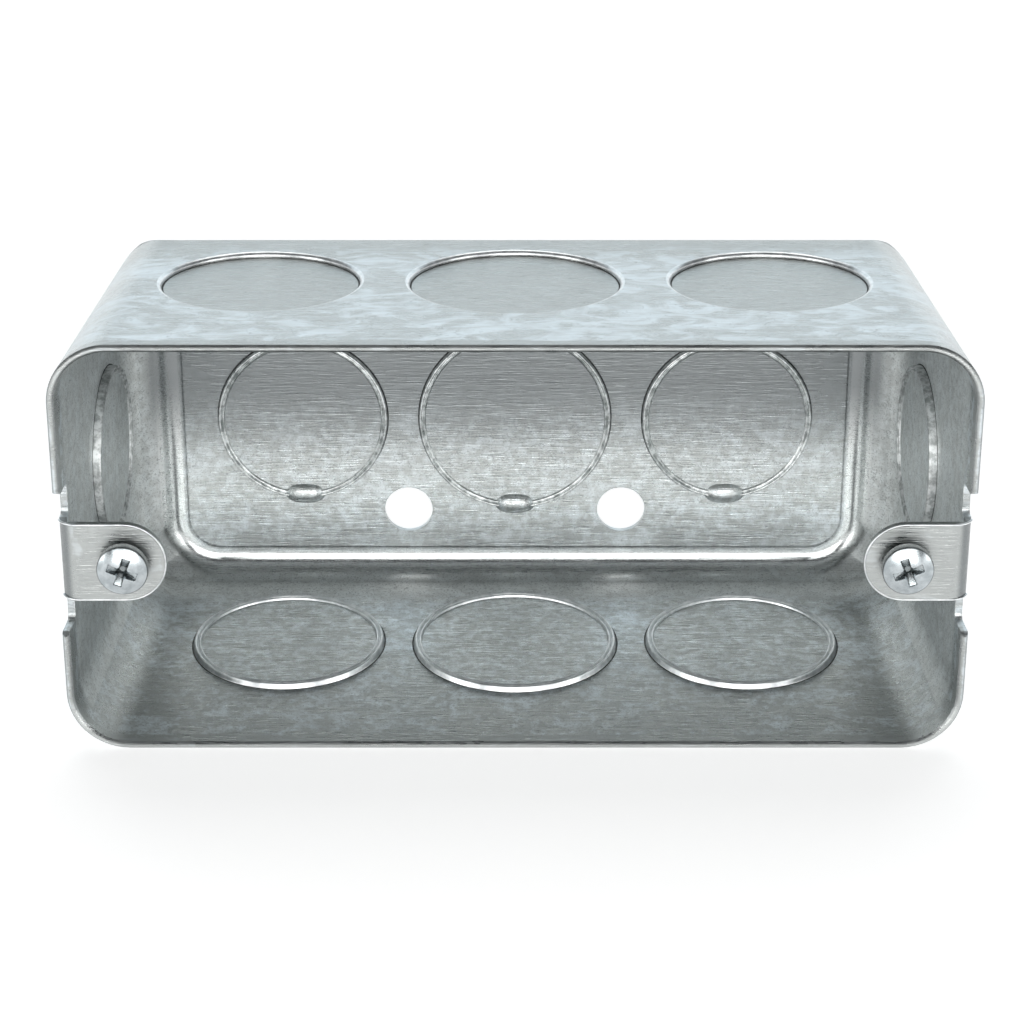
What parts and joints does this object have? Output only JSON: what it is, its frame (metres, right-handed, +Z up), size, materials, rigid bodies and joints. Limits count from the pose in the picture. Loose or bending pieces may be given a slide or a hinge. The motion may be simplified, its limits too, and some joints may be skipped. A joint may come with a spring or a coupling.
{
  "type": "rectangular electrical box",
  "caption": "Drawn galvanised-steel rectangular wiring box with an open front, round knockouts in its walls, a drilled back and folded ears that carry the device screws.",
  "frame": {"origin": "midway between the two fixing holes, on the outer face of the back", "axes": "+X along the box, +Y out through the back (the open front faces -Y), +Z up"},
  "size_m": [0.0976, 0.0446, 0.047],
  "materials": {
    "galvanised_sheet": "galvanised sheet, semi-bright with soft mottling and fine rolling lines",
    "zinc_plated_steel": "bright zinc plating"
  },
  "bodies": {
    "root": {"box_shell": "galvanised_sheet", "device_screws": "zinc_plated_steel"}
  },
  "joints": []
}
